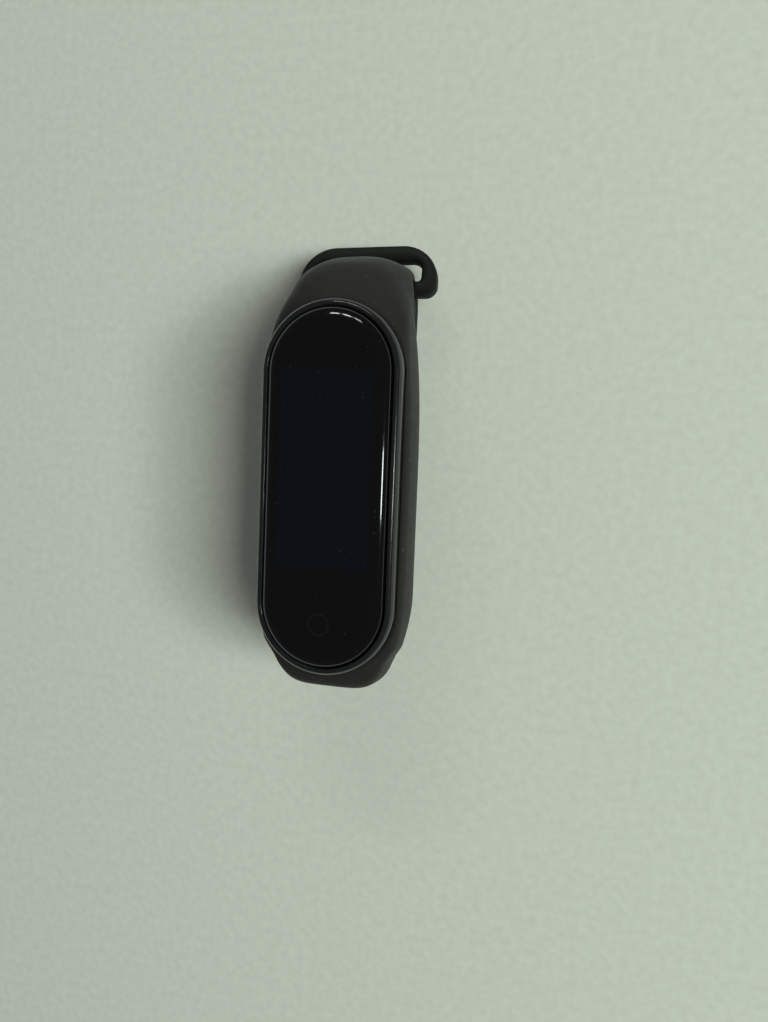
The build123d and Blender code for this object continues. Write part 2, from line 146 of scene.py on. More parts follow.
CAPSULE_WIDTH = SHELL_HIGH[0] - SHELL_LOW[0]
CAPSULE_LENGTH = SHELL_HIGH[1] - SHELL_LOW[1]
WAIST_INSET = 0.3
RIM_TOP = SHELL_HIGH[2]
RIM_UNDERSIDE = RIM_TOP - 2.1
SHELL_BACK = SHELL_LOW[2] + 1.0

SHELL_TO_GLASS = GLASS_LOW[0] - SHELL_LOW[0]
GLASS_EDGE_WIDTH = 2.3
GLASS_EDGE_FALL = 1.4
BUMP_WIDTH = 11.4
BUMP_LENGTH = 24.0
PAD_RELIEF = 0.03                 # how far the charging pads stand out of the back
TOUCH_MARK_Y = -16.7
TOUCH_MARK_RADIUS = 1.3

# ---- loop --------------------------------------------------------------------------------------

LOOP_ARM = 2.3
LOOP_ABOVE = 2.9
LOOP_BELOW = 4.5
LOOP_CLEAR_ABOVE = 0.6
LOOP_CLEAR_BELOW = 0.25
LOOP_DEPTH = 2.2

# ---- setting -------------------------------------------------------------------------------------

CAMERA_PLACE = (30.40, 3.92, 111.18)
CAMERA_TARGET = (7.32, -2.33, 20.5)
CAMERA_ROLL = 2.23
CAMERA_LENS = 27.0
FLOOR_Z = -0.05
FLOOR_COLOUR = (0.50, 0.53, 0.47)
WORLD_STRENGTH = 0.09
WORLD_COLOUR = (0.80, 0.86, 0.84, 1)
# Lights: name, place, what it faces, size, watts, colour, and whether glossy surfaces mirror it.
# Places and sizes are in millimetres. The broad lights are not mirrored.
LIGHTS = [
    ("main", (700, -60, 760), (0, 0, 0), (420, 560), 10.4, (0.95, 1.0, 0.94), False),
    ("side", (470, -18, 390), (0, 0, 0), (60, 60), 0.32, (0.88, 1.0, 0.93), True),
    ("far_left", (-130, 430, 330), (0, 0, 0), (60, 40), 0.13, (1.0, 0.99, 0.96), True),
    ("far_middle", (-40, 430, 330), (0, 0, 0), (60, 40), 0.13, (1.0, 0.99, 0.96), True),
    ("far_right", (50, 430, 330), (0, 0, 0), (60, 40), 0.08, (1.0, 0.99, 0.96), True),
    ("left_fill", (-430, -60, 260), (0, 0, 0), (260, 420), 0.05, (0.95, 0.98, 1.0), False),
]

# ---- numbers that set how fine the meshes are ----------------------------------------------------

STRAP_STEP = 0.28
TAIL_STEP = 0.25
AROUND_PILL = 56                  # points on each round end of a pill outline
RELAX_ROUNDS = 6


# ---- small helpers ---------------------------------------------------------------------------


def smooth_max(a, b, softness):
    """The larger of two fields, with the corner between them rounded off."""
    share = np.clip(0.5 + 0.5 * (a - b) / softness, 0, 1)
    return b + (a - b) * share + softness * share * (1 - share)


def smooth_min(a, b, softness):
    """The smaller of two fields, with the crease between them filled."""
    return -smooth_max(-a, -b, softness)


def wrapped(angle):
    """An angle brought between minus and plus half a turn."""
    return (angle + pi) % (2 * pi) - pi


def on_bend(bend, angle, depth=0.0):
    """The (y, z) of a point on a bend, a depth below its outer face, at an angle in degrees."""
    centre_y, centre_z, radius = bend
    reach = radius - depth
    return centre_y + reach * cos(radians(angle)), centre_z + reach * sin(radians(angle))


def pill_distance(x, y, width, length):
    """Distance in plan from the outline of a pill that is long along Y."""
    straight = (length - width) / 2
    return np.hypot(x, np.maximum(np.abs(y) - straight, 0)) - width / 2


# ---- strap fields --------------------------------------------------------------------------------


def path_coordinates(stretches, y, z):
    """Length along a strap run and height over its outer face, for points seen from the side.

    A stretch is (bend, first angle, last angle, depth). Straight pieces join one to the next.
    """
    along = np.zeros_like(y)
    height = np.full_like(y, 1e3)
    nearest = np.full_like(y, 1e3)
    run = 0.0
    last = None
    for bend, first_angle, last_angle, depth in stretches:
        begin = np.array(on_bend(bend, first_angle, depth))
        if last is not None:
            step = begin - last
            length = np.hypot(*step)
            unit = step / length
            out = np.array([unit[1], -unit[0]]) * np.sign(last_angle - first_angle)
            t = (y - last[0]) * unit[0] + (z - last[1]) * unit[1]
            h = (y - last[0]) * out[0] + (z - last[1]) * out[1]
            over = np.maximum(np.maximum(-t, t - length), 0)
            miss = np.hypot(h, over)
            near = miss < nearest
            nearest = np.where(near, miss, nearest)
            height = np.where(near, np.where(over > 0, miss, h), height)
            along = np.where(near, run + np.clip(t, 0, length), along)
            run += length
        radius = bend[2] - depth
        middle = radians((first_angle + last_angle) / 2)
        half = radians(abs(last_angle - first_angle) / 2)
        turn = wrapped(np.arctan2(z - bend[1], y - bend[0]) - middle)
        kept = np.clip(turn, -half, half)
        near_y = bend[0] + radius * np.cos(middle + kept)
        near_z = bend[1] + radius * np.sin(middle + kept)
        miss = np.hypot(y - near_y, z - near_z)
        h = np.hypot(y - bend[0], z - bend[1]) - radius
        near = miss < nearest
        nearest = np.where(near, miss, nearest)
        height = np.where(near, np.where(np.abs(turn) > half, miss, h), height)
        forward = np.sign(last_angle - first_angle) * kept + half
        along = np.where(near, run + radius * forward, along)
        run += radius * 2 * half
        last = np.array(on_bend(bend, last_angle, depth))
    return along, height


def run_field(x, height, thickness, fall, half_width=STRAP_HALF_WIDTH, cup=0.0):
    """Cross-section of a strap run: an outer face that falls to its edges, and soft corners.

    The inner face falls too, by the cup.
    """
    outer = height + fall
    inner = -height - thickness - cup
    side = np.abs(x) - half_width
    return smooth_max(smooth_max(outer, side, EDGE_ROUND), inner, INNER_EDGE_ROUND)


def crown(x, amount, power=TAIL_POWER):
    """How far a crowned face falls back at x, for its fall at the strap's plain half width."""
    return amount * (np.abs(x) / STRAP_HALF_WIDTH)**power


def shoulder_crown(x):
    """How far the strap's face under the capsule's lower end falls back: flat, then round edges."""
    return crown(x, SHOULDER_CROWN, SHOULDER_POWER)


def cradle_half_width(y):
    """Half the cradle's width in plan: full round the capsule and drawn in to the strap."""
    upper = np.clip(y / UPPER_TAPER_LENGTH, 0, 1)
    lower = np.clip((y - LOWER_TAPER_END) / LOWER_TAPER_LENGTH, 0, 1)
    spread = (CRADLE_HALF_WIDTH - STRAP_HALF_WIDTH) * lower
    lower_part = STRAP_HALF_WIDTH + spread * (1.5 - 0.5 * lower**2)
    upper_part = CRADLE_HALF_WIDTH - (CRADLE_HALF_WIDTH - ROOT_HALF_WIDTH) * UPPER_TAPER * upper**3
    return np.where(y > 0, upper_part, lower_part)


def cradle_field(x, y, z):
    """The block that holds the capsule, before the capsule's space is taken out."""
    above = np.maximum(z - BULGE_Z, 0) / (CRADLE_TOP - BULGE_Z)
    below = np.maximum(BULGE_Z - z, 0) / (BULGE_Z - CRADLE_BOTTOM)
    side = np.abs(x) - cradle_half_width(y) + TOP_DRAW_IN * above**2 + FOOT_DRAW_IN * below**2
    far_end = np.hypot(np.maximum(y - UPPER_BEND[0], 0), z - UPPER_BEND[1]) - UPPER_BEND[2]
    far_end = far_end + crown(x, CRADLE_CROWN, ROOT_POWER) * np.clip((y - 16) / 9, 0, 1)
    near_end = np.hypot(np.minimum(y - LOWER_BEND[0], 0), z - LOWER_BEND[1]) - LOWER_BEND[2]
    near_end = near_end + RUN_DEPTH + LOWER_END_PULL
    near_end = near_end + shoulder_crown(x) * np.clip((-17 - y) / 5, 0, 1)
    away = pill_distance(x, y, CAPSULE_WIDTH, CAPSULE_LENGTH)
    top = z - CRADLE_TOP + LIP_FALL * np.maximum(away - LIP_WIDTH, 0)
    body = smooth_max(top, side, 0.8)
    body = smooth_max(body, far_end, 1.2)
    body = smooth_max(body, near_end, 0.8)
    return smooth_max(body, CRADLE_BOTTOM - z, 1.4)


def capsule_space(x, y, z):
    """The space for the capsule: its waist, with a rounded foot, and the window under it."""
    waist = 2 * (CRADLE_FIT - WAIST_INSET)
    round_side = pill_distance(x, y, CAPSULE_WIDTH + waist, CAPSULE_LENGTH + waist) + FOOT_RADIUS
    round_seat = SEAT_Z + FOOT_RADIUS - z
    corner = np.hypot(np.maximum(round_side, 0), np.maximum(round_seat, 0))
    space = corner + np.minimum(np.maximum(round_side, round_seat), 0) - FOOT_RADIUS
    window = pill_distance(x, y, WINDOW_WIDTH, WINDOW_LENGTH)
    window = np.maximum(window, CRADLE_BOTTOM - 2 - z)
    return np.minimum(space, window)


def upper_run(x, y, z):
    """The run from the cradle to the loop: wide and well crowned, then drawn in to the tail."""
    along, height = path_coordinates([(UPPER_BEND, ROOT_ANGLE, LOOP_ANGLE - 12, 0.0)], y, z)
    to_loop = UPPER_BEND[2] * radians(ROOT_ANGLE - LOOP_ANGLE)
    left = np.clip(1 - along / to_loop, 0, 1)
    share = np.clip(ROOT_KEEP * left, 0, 1)
    fall = crown(x, CRADLE_CROWN, ROOT_POWER) * share + crown(x, TAIL_CROWN) * (1 - share)
    half_width = LOOP_GATE_HALF_WIDTH + (ROOT_HALF_WIDTH - LOOP_GATE_HALF_WIDTH) * share
    sink = ROOT_SINK * np.clip(1 - along / ROOT_SINK_LENGTH, 0, 1)**2
    field = run_field(x, height, TAIL_THICKNESS, fall + sink, half_width, ROOT_CUP * fall * share)
    cut_y, cut_z = on_bend(UPPER_BEND, LOOP_ANGLE)
    past_cut = (y - cut_y) * sin(radians(LOOP_ANGLE)) - (z - cut_z) * cos(radians(LOOP_ANGLE))
    return np.maximum(field, past_cut), height


def lower_run(x, y, z):
    """The run from the cradle's lower end round the back to the loop."""
    path = [
        (LOWER_BEND, SHOULDER_ANGLE, 270.0, RUN_DEPTH),
        (HEEL_BEND, 270.0, 360.0 + HEEL_ANGLE, RUN_DEPTH),
        (UPPER_BEND, 360.0 + HEEL_ANGLE, 358.0 + LOOP_ANGLE, RUN_DEPTH),
    ]
    along, height = path_coordinates(path, y, z)
    share = np.clip(1 - (along - SHOULDER_LENGTH) / SHOULDER_FADE, 0, 1)
    fall = crown(x, RUN_CROWN) * (1 - share) + shoulder_crown(x) * share
    return run_field(x, height, RUN_THICKNESS, fall), height


def strap_field(points):
    """The strap without its tail: cradle, lower run round the back, upper run to the loop."""
    x, y, z = points.T
    field = cradle_field(x, y, z)
    for run, height in (upper_run(x, y, z), lower_run(x, y, z)):
        field = smooth_min(field, run, 0.05 + 1.3 * np.clip(-height - 0.9, 0, 1))
    return smooth_max(field, -capsule_space(x, y, z), 0.3)


def tail_path():
    """The tail from the loop round the heel, along the flat back and up the lower bend."""
    return [
        (UPPER_BEND, LOOP_ANGLE + 10, HEEL_ANGLE, 0.0),
        (HEEL_BEND, HEEL_ANGLE, -90.0, 0.0),
        (LOWER_BEND, -90.0, TIP_ANGLE - 12, 0.0),
    ]


def length_at_flat(y):
    """Length along the tail's path of a point on its flat back."""
    ends = np.array([[y], [0.0]])
    return path_coordinates(tail_path(), ends[0], ends[1])[0][0]


def tail_field(points):
    """The tail, with its long holes and rounded tip."""
    x, y, z = points.T
    along, height = path_coordinates(tail_path(), y, z)
    narrowing = np.clip(1 - along / NARROWING_LENGTH, 0, 1)
    half_width = STRAP_HALF_WIDTH + (LOOP_GATE_HALF_WIDTH - STRAP_HALF_WIDTH) * narrowing
    field = run_field(x, height, TAIL_THICKNESS, crown(x, TAIL_CROWN), half_width)
    tip_length = length_at_flat(LOWER_BEND[0]) + LOWER_BEND[2] * radians(-90 - TIP_ANGLE)
    corner = STRAP_HALF_WIDTH - TIP_SQUARENESS
    out_x = np.maximum(np.abs(x) - STRAP_HALF_WIDTH + corner, 0)
    out_s = np.maximum(along - tip_length + corner, 0)
    rounded_tip = np.where(out_s > 0, np.hypot(out_x, out_s) - corner, -corner)
    field = smooth_max(field, rounded_tip, EDGE_ROUND)
    web = length_at_flat(0.0)
    half_slot = (HOLE_LENGTH - HOLE_WIDTH) / 2
    for place in HOLES:
        reach = np.maximum(np.abs(along - web + place * HOLE_PITCH) - half_slot, 0)
        hole = np.hypot(x, reach) - HOLE_WIDTH / 2
        field = smooth_max(field, -hole, HOLE_SOFTNESS)
    return field


# ---- from a field to a mesh -------------------------------------------------------------------


def surface_net(field, low, high, step):
    """A closed mesh of squares round the part of space where the field is below zero."""
    axes = [np.arange(np.floor(a / step) - 2, np.ceil(b / step) + 3) * step for a, b in zip(low, high)]
    grid = np.stack(np.meshgrid(*axes, indexing="ij"), -1).reshape(-1, 3)
    shape = tuple(len(a) for a in axes)
    values = np.concatenate([field(part) for part in np.array_split(grid, 24)]).reshape(shape)
    strides = np.array([shape[1] * shape[2], shape[2], 1])
    cells, places, squares = [], [], []
    for axis in range(3):
        here = [slice(None)] * 3
        there = [slice(None)] * 3
        here[axis] = slice(None, -1)
        there[axis] = slice(1, None)
        a, b = values[tuple(here)], values[tuple(there)]
        edges = np.argwhere((a < 0) != (b < 0))
        start = a[tuple(edges.T)]
        crossing = start / (start - b[tuple(edges.T)])
        place = edges.astype(float)
        place[:, axis] += crossing
        u, v = (axis + 1) % 3, (axis + 2) % 3
        corner = edges @ strides
        around = [corner - du * strides[u] - dv * strides[v] for du, dv in ((0, 0), (1, 0), (1, 1), (0, 1))]
        square = np.stack(around, 1)
        square[start > 0] = square[start > 0][:, ::-1]
        squares.append(square)
        cells.extend(around)
        places.extend([place] * 4)
    cells = np.concatenate(cells)
    places = np.concatenate(places)
    used, index = np.unique(cells, return_inverse=True)
    count = np.bincount(index)
    points = np.stack([np.bincount(index, places[:, k]) / count for k in range(3)], 1)
    origin = np.array([a[0] for a in axes])
    faces = np.searchsorted(used, np.concatenate(squares))
    return points * step + origin, faces


def slope(field, points, reach=0.03):
    """Direction in which the field rises, at each point."""
    steps = np.eye(3) * reach
    return np.stack([(field(points + s) - field(points - s)) / (2 * reach) for s in steps], 1)


def settle(field, points, faces, rounds):
    """Evens out a net's points and brings them onto the surface exactly."""
    pairs = np.concatenate([faces[:, [0, 1]], faces[:, [1, 2]], faces[:, [2, 3]], faces[:, [3, 0]]])
    pairs = np.unique(np.sort(pairs, 1), axis=0)
    ends = np.concatenate([pairs[:, 0], pairs[:, 1]])
    others = np.concatenate([pairs[:, 1], pairs[:, 0]])
    count = np.bincount(ends)
    for turn in range(rounds):
        mean = np.stack([np.bincount(ends, points[others, k]) / count for k in range(3)], 1)
        if turn < rounds - 2:
            points = points + 0.5 * (mean - points)
        rise = slope(field, points)
        square = np.maximum((rise**2).sum(1), 0.2)
        move = (field(points) / square)[:, None] * rise
        size = np.linalg.norm(move, axis=1, keepdims=True)
        points = points - move * np.minimum(1, 0.2 / np.maximum(size, 1e-9))
    return points


def new_object(name, points, faces, smooth_angle=40.0):
    """A mesh object from points in millimetres."""
    mesh = bpy.data.meshes.new(name)
    mesh.from_pydata((np.asarray(points) * MM).tolist(), [], [list(map(int, f)) for f in faces])
    mesh.validate()
    mesh.shade_smooth()
    mesh.set_sharp_from_angle(angle=radians(smooth_angle))
    made = bpy.data.objects.new(name, mesh)
    bpy.context.scene.collection.objects.link(made)
    return made


def solid_from_field(name, field, low, high, step):
    """An object whose surface is where a field is zero."""
    points, faces = surface_net(field, low, high, step)
    return new_object(name, settle(field, points, faces, RELAX_ROUNDS), faces)


def cut_off(piece, point, away):
    """Cuts an object with a plane, drops the side that away points to, and closes the cut."""
    work = bmesh.new()
    work.from_mesh(piece.data)
    everything = work.verts[:] + work.edges[:] + work.faces[:]
    centre = Vector(point) * MM
    cut = bmesh.ops.bisect_plane(work, geom=everything, plane_co=centre, plane_no=Vector(away),
                                 clear_outer=True, dist=1e-7)
    rim = [e for e in cut["geom_cut"] if isinstance(e, bmesh.types.BMEdge)]
    bmesh.ops.holes_fill(work, edges=rim, sides=0)
    bmesh.ops.recalc_face_normals(work, faces=work.faces[:])
    work.to_mesh(piece.data)
    work.free()
    piece.data.set_sharp_from_angle(angle=radians(40))


def copy_of(piece, name):
    """A separate copy of an object and its mesh."""
    twin = piece.copy()
    twin.data = piece.data.copy()
    twin.name = name
    twin.data.name = name
    bpy.context.scene.collection.objects.link(twin)
    return twin


# ---- lofted shapes -----------------------------------------------------------------------------


def pill_ring(width, length, z):
    """Points round a pill outline at one height, the same number whatever its size."""
    radius = width / 2
    centre = (length - width) / 2
    angles = np.linspace(0, pi, AROUND_PILL)
    upper = [(radius * cos(a), centre + radius * sin(a), z) for a in angles]
    lower = [(-radius * cos(a), -centre - radius * sin(a), z) for a in angles]
    ring = []
    for arc, other in ((upper, lower), (lower, upper)):
        ring.extend(arc)
        a, b = np.array(arc[-1]), np.array(other[0])
        ring.extend(tuple(a + (b - a) * t) for t in np.linspace(0, 1, 14)[1:-1])
    return ring


def inset_rings(width, length, profile):
    """Rings of a pill at a list of (inset, z)."""
    return [pill_ring(width - 2 * inset, length - 2 * inset, z) for inset, z in profile]


def quarter(start, end, bulge_first, steps=7):
    """Points of a quarter ellipse between two (inset, z) corners, leaving along inset or z first."""
    made = []
    for t in np.linspace(0, pi / 2, steps):
        first, second = (sin(t), 1 - cos(t)) if bulge_first == "inset" else (1 - cos(t), sin(t))
        made.append((start[0] + (end[0] - start[0]) * first, start[1] + (end[1] - start[1]) * second))
    return made


def lofted(name, rings, closed=False, smooth_angle=40.0):
    """A solid through rings of points: capped at both ends, or joined end to end."""
    count = len(rings[0])
    points = [p for ring in rings for p in ring]
    faces = []
    last = len(rings) if closed else len(rings) - 1
    for i in range(last):
        j = (i + 1) % len(rings)
        for k in range(count):
            m = (k + 1) % count
            faces.append((i * count + k, i * count + m, j * count + m, j * count + k))
    if not closed:
        faces.append(tuple(reversed(range(count))))
        faces.append(tuple(range(len(points) - count, len(points))))
    made = new_object(name, points, faces, smooth_angle)
    work = bmesh.new()
    work.from_mesh(made.data)
    bmesh.ops.recalc_face_normals(work, faces=work.faces[:])
    work.to_mesh(made.data)
    work.free()
    made.data.set_sharp_from_angle(angle=radians(smooth_angle))
    return made


# ---- materials -----------------------------------------------------------------------------------


class Finish:
    """A node material with a Principled shader, and the few node patterns that this scene uses."""

    def __init__(self, name, colour, roughness, metallic=0.0, specular=0.5):
        """Sets the values that are the same all over straight on the shader."""
        self.material = bpy.data.materials.new(name)
        self.material.use_nodes = True
        self.tree = self.material.node_tree
        self.shader = self.tree.nodes["Principled BSDF"]
        self.shader.inputs["Base Color"].default_value = (*colour, 1)
        self.shader.inputs["Roughness"].default_value = roughness
        self.shader.inputs["Metallic"].default_value = metallic
        self.shader.inputs["Specular IOR Level"].default_value = specular
        self.place = self.tree.nodes.new("ShaderNodeTexCoord").outputs["Object"]

    def node(self, kind, **values):
        """A node of one kind, with its inputs set by name or linked."""
        made = self.tree.nodes.new(kind)
        for key, value in values.items():
            self.feed(made.inputs[key.replace("_", " ")], value)
        return made

    def feed(self, socket, value):
        """Sets a socket to a value, or links it to another node's output."""
        if isinstance(value, bpy.types.NodeSocket):
            self.tree.links.new(value, socket)
        else:
            socket.default_value = value

    def noise(self, scale_mm, detail=3.0, stretch=(1, 1, 1)):
        """Noise with features of about the given size in millimetres, from 0 to 1."""
        scale = [share / (scale_mm * MM) for share in stretch]
        spread = self.node("ShaderNodeMapping", Vector=self.place, Scale=scale)
        noise = self.node("ShaderNodeTexNoise", Vector=spread.outputs[0], Scale=1.0, Detail=detail)
        return noise.outputs["Fac"]

    def ramp(self, value, low, high, out_low=0.0, out_high=1.0):
        """A value stretched from one range to another and held at its ends."""
        made = self.node("ShaderNodeMapRange", Value=value, From_Min=low, From_Max=high,
                         To_Min=out_low, To_Max=out_high)
        return made.outputs["Result"]

    def math(self, operation, a, b=0.0):
        """One arithmetic step."""
        made = self.tree.nodes.new("ShaderNodeMath")
        made.operation = operation
        self.feed(made.inputs[0], a)
        self.feed(made.inputs[1], b)
        return made.outputs[0]

    def blend(self, share, a, b):
        """A colour between two colours."""
        made = self.tree.nodes.new("ShaderNodeMix")
        made.data_type = "RGBA"
        self.feed(made.inputs["Factor"], share)
        self.feed(made.inputs["A"], a if isinstance(a, bpy.types.NodeSocket) else (*a, 1))
        self.feed(made.inputs["B"], b if isinstance(b, bpy.types.NodeSocket) else (*b, 1))
        return made.outputs["Result"]

    def colour(self, value):
        """Feeds the shader's colour."""
        self.feed(self.shader.inputs["Base Color"], value)

    def roughness(self, value):
        """Feeds the shader's roughness."""
        self.feed(self.shader.inputs["Roughness"], value)

    def bump(self, height, strength, depth_mm):
        """Feeds the shader's normal from a height."""
        made = self.node("ShaderNodeBump", Height=height, Strength=strength, Distance=depth_mm * MM)
        self.feed(self.shader.inputs["Normal"], made.outputs[0])


def soft_rubber(name, dark, light, roughness):
    """Matt moulded strap rubber: fine grain, faint clouding, and a few specks of dust."""
    made = Finish(name, dark, roughness, specular=0.35)
    made.shader.inputs["Sheen Weight"].default_value = 0.05
    made.shader.inputs["Sheen Roughness"].default_value = 0.35
    cloud = made.noise(6.0, 4.0)
    specks = made.ramp(made.noise(0.32, 1.0), 0.735, 0.78)
    base = made.blend(cloud, dark, light)
    made.colour(made.blend(made.math("MULTIPLY", specks, 0.30), base, (0.30, 0.29, 0.27)))
    made.roughness(made.ramp(made.noise(1.5, 2.0), 0.3, 0.7, roughness - 0.05, roughness + 0.06))
    made.bump(made.noise(0.12, 2.0), 0.35, 0.02)
    return made.material


def gloss_plastic(name, colour, roughness, coat=0.3, specular=0.5):
    """Polished plastic with the faintest unevenness of a moulded surface."""
    made = Finish(name, colour, roughness, specular=specular)
    made.shader.inputs["Coat Weight"].default_value = coat
    made.shader.inputs["Coat Roughness"].default_value = 0.08
    made.roughness(made.ramp(made.noise(2.0, 3.0), 0.3, 0.7, roughness - 0.03, roughness + 0.05))
    lift = tuple(c * 1.6 + 0.002 for c in colour)
    made.colour(made.blend(made.noise(4.0, 2.0), colour, lift))
    made.bump(made.noise(0.9, 2.0), 0.06, 0.01)
    return made.material


def screen_glass():
    """Black cover glass: a bluish screen area, a faint round touch mark, and fine dust."""
    made = Finish("screen_glass", (0.003, 0.003, 0.004), 0.07)
    made.shader.inputs["Coat Weight"].default_value = 0.2
    made.shader.inputs["Coat Roughness"].default_value = 0.03
    split = made.node("ShaderNodeSeparateXYZ", Vector=made.place)
    x, y = split.outputs[0], split.outputs[1]
    middle = (PANEL_LOW + PANEL_HIGH) / 2 * MM
    half = (PANEL_HIGH - PANEL_LOW) / 2 * MM
    off_x = made.math("ABSOLUTE", made.math("SUBTRACT", x, middle[0]))
    off_y = made.math("ABSOLUTE", made.math("SUBTRACT", y, middle[1]))
    in_x = made.ramp(off_x, half[0] - 0.0006, half[0] - 0.0002, 1, 0)
    in_y = made.ramp(off_y, half[1] - 0.0022, half[1] - 0.0014, 1, 0)
    screen = made.math("MULTIPLY", in_x, in_y)
    mark_y = made.math("SUBTRACT", y, TOUCH_MARK_Y * MM)
    mark_square = made.math("ADD", made.math("POWER", x, 2.0), made.math("POWER", mark_y, 2.0))
    from_mark = made.math("SQRT", mark_square)
    off_ring = made.math("ABSOLUTE", made.math("SUBTRACT", from_mark, TOUCH_MARK_RADIUS * MM))
    ring = made.ramp(off_ring, 0.00009, 0.00020, 1, 0)
    dust = made.ramp(made.noise(0.30, 0.0), 0.84, 0.88)
    base = made.blend(screen, (0.0016, 0.0015, 0.0016), (0.0020, 0.0022, 0.0060))
    base = made.blend(made.math("MULTIPLY", ring, 0.3), base, (0.012, 0.012, 0.016))
    made.colour(made.blend(made.math("MULTIPLY", dust, 0.3), base, (0.10, 0.10, 0.10)))
    smear = made.noise(5.0, 3.0, (1.0, 0.45, 1.0))
    made.roughness(made.ramp(smear, 0.35, 0.75, 0.05, 0.13))
    return made.material


def plain_finish(name, colour, roughness, metallic=0.0):
    """Finish of a hidden inner part: its own colour with slight mottling."""
    made = Finish(name, colour, roughness, metallic)
    lift = tuple(min(1.0, c * 1.25 + 0.01) for c in colour)
    made.colour(made.blend(made.noise(1.2, 3.0), colour, lift))
    made.roughness(made.ramp(made.noise(0.8, 2.0), 0.3, 0.7, roughness - 0.05, roughness + 0.08))
    return made.material


def brushed_metal(name, colour, roughness):
    """Fine brushed metal, streaked one way."""
    made = Finish(name, colour, roughness, metallic=1.0)
    streaks = made.noise(0.25, 4.0, (1.0, 0.06, 1.0))
    made.colour(made.blend(streaks, colour, tuple(c * 0.8 for c in colour)))
    made.roughness(made.ramp(streaks, 0.3, 0.7, roughness - 0.06, roughness + 0.1))
    made.bump(streaks, 0.1, 0.01)
    return made.material


def paint(piece, material):
    """Gives an object one material."""
    piece.data.materials.clear()
    piece.data.materials.append(material)


# ---- pieces --------------------------------------------------------------------------------------


def make_strap(rubber):
    """The strap from the loop round to the loop again, without the tail."""
    low = (STRAP_LOW[0], STRAP_LOW[1], 0.0)
    strap = solid_from_field("strap", strap_field, low, STRAP_HIGH, STRAP_STEP)
    paint(strap, rubber)
    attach(strap, "strap")
    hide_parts("strap_body")
    return strap


def make_tail(rubber):
    """The tail in two pieces that meet at a web on the flat back."""
    low = (-LOOP_GATE_HALF_WIDTH, TIP_LOW[1], 0.0)
    high = (LOOP_GATE_HALF_WIDTH, STRAP_HIGH[1], UPPER_BEND[1] + 1)
    upper = solid_from_field("tail_upper", tail_field, low, high, TAIL_STEP)
    cut_y, cut_z = on_bend(UPPER_BEND, LOOP_ANGLE)
    forward = (0, -sin(radians(LOOP_ANGLE)), cos(radians(LOOP_ANGLE)))
    cut_off(upper, (0, cut_y, cut_z), forward)
    lower = copy_of(upper, "tail_lower")
    cut_off(upper, (0, 0, 0), (0, -1, 0))
    cut_off(lower, (0, 0, 0), (0, 1, 0))
    for piece in (upper, lower):
        paint(piece, rubber)
    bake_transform(upper)
    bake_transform(lower)
    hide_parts("tail_link")
    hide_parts("tail_tip")


def frame_outline(half_width, top, bottom, top_radius, bottom_radius):
    """Points round a rectangle with rounded corners, the same number whatever its size."""
    corners = [
        (half_width - top_radius, top - top_radius, top_radius, 0),
        (-half_width + top_radius, top - top_radius, top_radius, 90),
        (-half_width + bottom_radius, bottom + bottom_radius, bottom_radius, 180),
        (half_width - bottom_radius, bottom + bottom_radius, bottom_radius, 270),
    ]
    outline = []
    for centre_x, centre_n, radius, start in corners:
        for angle in np.linspace(start, start + 90, 14):
            outline.append((centre_x + radius * cos(radians(angle)),
                            centre_n + radius * sin(radians(angle))))
        outline.append(None)
    filled = []
    for index, point in enumerate(outline):
        if point is not None:
            filled.append(point)
            continue
        before = outline[index - 1]
        after = outline[(index + 1) % len(outline)]
        for t in np.linspace(0, 1, 8)[1:-1]:
            filled.append((before[0] + (after[0] - before[0]) * t, before[1] + (after[1] - before[1]) * t))
    return filled


def rounded_section(count, power):
    """Points round a square with soft corners, from -1 to 1 each way."""
    points = []
    for turn in np.linspace(0, 2 * pi, count, endpoint=False):
        c, s = cos(turn), sin(turn)
        points.append((np.sign(c) * abs(c)**(2 / power), np.sign(s) * abs(s)**(2 / power)))
    return points


def make_loop(material):
    """The keeper loop: a frame of soft square section that the tail passes through."""
    outer = frame_outline(LOOP_HIGH[0], LOOP_ABOVE, -LOOP_BELOW, 5.3, 1.6)
    window_low = -TAIL_THICKNESS - LOOP_CLEAR_BELOW
    inner = frame_outline(LOOP_HIGH[0] - LOOP_ARM, LOOP_CLEAR_ABOVE, window_low, 1.5, 0.5)
    centre_y, centre_z = on_bend(UPPER_BEND, LOOP_ANGLE)
    up = np.array([0, cos(radians(LOOP_ANGLE)), sin(radians(LOOP_ANGLE))])
    forward = np.array([0, -sin(radians(LOOP_ANGLE)), cos(radians(LOOP_ANGLE))])
    across = np.array([1.0, 0, 0])
    centre = np.array([0, centre_y, centre_z])
    rings = []
    for (outer_x, outer_n), (inner_x, inner_n) in zip(outer, inner):
        ring = []
        for out, along in rounded_section(28, 3.6):
            t = (1 + out) / 2
            x = inner_x + (outer_x - inner_x) * t
            n = inner_n + (outer_n - inner_n) * t
            ring.append(tuple(centre + across * x + up * n + forward * along * LOOP_DEPTH / 2))
        rings.append(ring)
    loop = lofted("loop", rings, closed=True)
    paint(loop, material)
    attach(loop, "strap")
    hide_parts("strap_loop")


def turned(name, centre, profile, steps=64):
    """A solid turned about an upright axis, from a list of (radius, z)."""
    rings = []
    for radius, z in profile:
        angles = np.linspace(0, 2 * pi, steps, endpoint=False)
        rings.append([(centre[0] + radius * cos(a), centre[1] + radius * sin(a), z) for a in angles])
    return lofted(name, rings)


